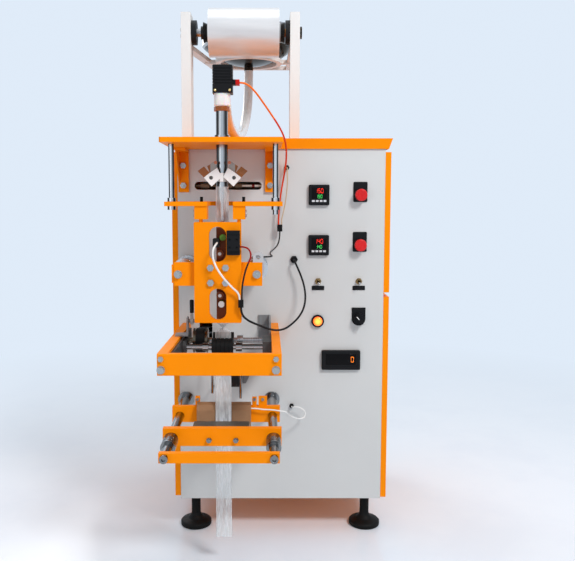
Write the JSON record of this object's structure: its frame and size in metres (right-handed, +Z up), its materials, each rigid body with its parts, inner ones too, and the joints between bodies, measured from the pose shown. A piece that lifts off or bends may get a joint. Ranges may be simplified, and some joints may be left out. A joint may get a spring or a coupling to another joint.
{
  "type": "pouch packing machine",
  "caption": "Upright floor-standing cabinet machine that folds film round a fill tube, seals it along its length, pulls it down and seals it across into pouches.",
  "frame": {"origin": "middle of the machine on the floor, under the middle of its overall box", "axes": "+Z up, the longest extent; +Y from the front panel into the cabinet; +X to the right as seen from the front"},
  "size_m": [0.5168, 0.8699, 1.2835],
  "materials": {
    "orange_paint": "satin powder coat",
    "grey_paint": "satin powder coat",
    "off_white_paint": "satin powder coat",
    "black_rubber": "moulded rubber",
    "black_plastic": "moulded plastic",
    "red_plastic": "moulded plastic",
    "amber_lens": "clear lens",
    "bright_steel": "brushed",
    "chromed_steel": "hard chrome",
    "plain_aluminium": "milled",
    "dark_steel": "oiled",
    "brown_cloth": "steel bar under brown heat-proof cloth",
    "white_plastic": "translucent nylon",
    "clear_film": "clear packing film",
    "clear_hose": "soft clear PVC hose",
    "red_cable": "PVC sheath",
    "beige_sleeve": "woven sleeve",
    "white_cable": "PVC sheath",
    "black_cable": "PVC sheath"
  },
  "bodies": {
    "cabinet": {"cabinet_contents": "off_white_paint", "cabinet_frame": "orange_paint", "cabinet_panels": "grey_paint", "cable_glands": "black_plastic", "cable_sleeves": "black_cable", "chrome_posts": "chromed_steel", "clamp_cable": "black_cable", "door_hinges": "orange_paint", "drive_belt": "black_rubber", "fasteners": "bright_steel", "fill_tube": "bright_steel", "film_tube": "clear_film", "forming_wings": "plain_aluminium", "frame_brackets": "grey_paint", "gland_wire": "beige_sleeve", "head_plates": "orange_paint", "heater_jaw": "brown_cloth", "heater_lead": "white_cable", "hose": "clear_hose", "jaw_leads": "white_cable", "jaw_sleeves": "chromed_steel", "levelling_feet": "black_rubber", "panel_instruments": "black_plastic", "panel_plates": "black_plastic", "pilot_lens": "amber_lens", "pinch_frame": "orange_paint", "rear_jaw_plate": "orange_paint", "roll_bearings": "dark_steel", "roll_stand": "off_white_paint", "sealer_cable": "black_cable", "sealer_frame": "orange_paint", "sealer_lead": "black_cable", "tank": "bright_steel", "terminal_block": "black_plastic", "toggle_bodies": "bright_steel", "top_cap": "orange_paint", "valve_body": "white_plastic", "valve_cable": "red_cable", "valve_coil": "black_plastic"},
    "left_door": {"left_door": "orange_paint"},
    "right_upper_door": {"right_upper_door": "orange_paint"},
    "right_lower_door": {"right_lower_door": "orange_paint"},
    "film_roll": {"film_roll": "clear_film", "roll_arbor": "chromed_steel"},
    "slot_roller": {"slot_roller": "chromed_steel"},
    "push_button_upper": {"push_button_upper": "red_plastic"},
    "push_button_lower": {"push_button_lower": "red_plastic"},
    "toggle_lever_left": {"toggle_lever_left": "bright_steel"},
    "toggle_lever_right": {"toggle_lever_right": "bright_steel"},
    "selector_knob": {"selector_knob": "black_plastic"},
    "heater_bar": {"heater_bar": "brown_cloth"},
    "drive_roller": {"drive_shaft": "dark_steel", "drive_roller": "black_rubber"},
    "idler_roller": {"idler_shaft": "bright_steel", "idler_roller": "black_rubber"},
    "motor_pulley": {"motor_pulley": "bright_steel"},
    "release_lever": {"release_lever": "bright_steel"},
    "front_jaw": {"jaw_rods": "chromed_steel", "front_jaw_plates": "orange_paint", "counter_jaw": "brown_cloth"}
  },
  "joints": [
    {"name": "left_door_hinge", "type": "hinge", "parent": "cabinet", "child": "left_door", "pos_m": [-0.253, 0.386, 0.505], "axis": [0, 0, -1], "range_deg": [0, 110]},
    {"name": "right_upper_door_hinge", "type": "hinge", "parent": "cabinet", "child": "right_upper_door", "pos_m": [0.253, 0.386, 0.755], "axis": [0, 0, 1], "range_deg": [0, 110]},
    {"name": "right_lower_door_hinge", "type": "hinge", "parent": "cabinet", "child": "right_lower_door", "pos_m": [0.253, 0.386, 0.33], "axis": [0, 0, 1], "range_deg": [0, 110]},
    {"name": "film_roll_spin", "type": "hinge", "parent": "cabinet", "child": "film_roll", "pos_m": [-0.09, 0.107, 1.224], "axis": [1, 0, 0], "continuous": true},
    {"name": "slot_roller_spin", "type": "hinge", "parent": "cabinet", "child": "slot_roller", "pos_m": [-0.1245, -0.032, 0.842], "axis": [1, 0, 0], "continuous": true},
    {"name": "upper_button_press", "type": "slide", "parent": "cabinet", "child": "push_button_upper", "axis": [0, 1, 0], "range_m": [0, 0.004], "stiffness_N_per_m": 1500},
    {"name": "lower_button_press", "type": "slide", "parent": "cabinet", "child": "push_button_lower", "axis": [0, 1, 0], "range_m": [0, 0.004], "stiffness_N_per_m": 1500},
    {"name": "left_toggle_swing", "type": "hinge", "parent": "cabinet", "child": "toggle_lever_left", "pos_m": [0.0875, -0.046, 0.617], "axis": [1, 0, 0], "range_deg": [-24, 0]},
    {"name": "right_toggle_swing", "type": "hinge", "parent": "cabinet", "child": "toggle_lever_right", "pos_m": [0.184, -0.046, 0.617], "axis": [1, 0, 0], "range_deg": [-24, 0]},
    {"name": "selector_turn", "type": "hinge", "parent": "cabinet", "child": "selector_knob", "pos_m": [0.1845, -0.053, 0.527], "axis": [0, 1, 0], "range_deg": [0, 80]},
    {"name": "vertical_sealer_stroke", "type": "slide", "parent": "cabinet", "child": "heater_bar", "axis": [0, 1, 0], "range_m": [0, 0.008]},
    {"name": "drive_roller_spin", "type": "hinge", "parent": "cabinet", "child": "drive_roller", "pos_m": [-0.1295, -0.178, 0.503], "axis": [1, 0, 0], "continuous": true},
    {"name": "idler_roller_spin", "type": "hinge", "parent": "cabinet", "child": "idler_roller", "pos_m": [-0.1295, -0.216, 0.497], "axis": [1, 0, 0], "continuous": true},
    {"name": "motor_pulley_spin", "type": "hinge", "parent": "cabinet", "child": "motor_pulley", "pos_m": [-0.17, 0.077, 0.47], "axis": [1, 0, 0], "continuous": true},
    {"name": "release_lever_swing", "type": "hinge", "parent": "cabinet", "child": "release_lever", "pos_m": [-0.197, -0.193, 0.549], "axis": [1, 0, 0], "range_deg": [-30, 30]},
    {"name": "front_jaw_stroke", "type": "slide", "parent": "cabinet", "child": "front_jaw", "axis": [0, 1, 0], "range_m": [0, 0.06]}
  ],
  "couplings": [
    {"joint": "idler_roller_spin", "follows": "drive_roller_spin", "ratio": -1},
    {"joint": "motor_pulley_spin", "follows": "drive_roller_spin", "ratio": 1.4688}
  ]
}
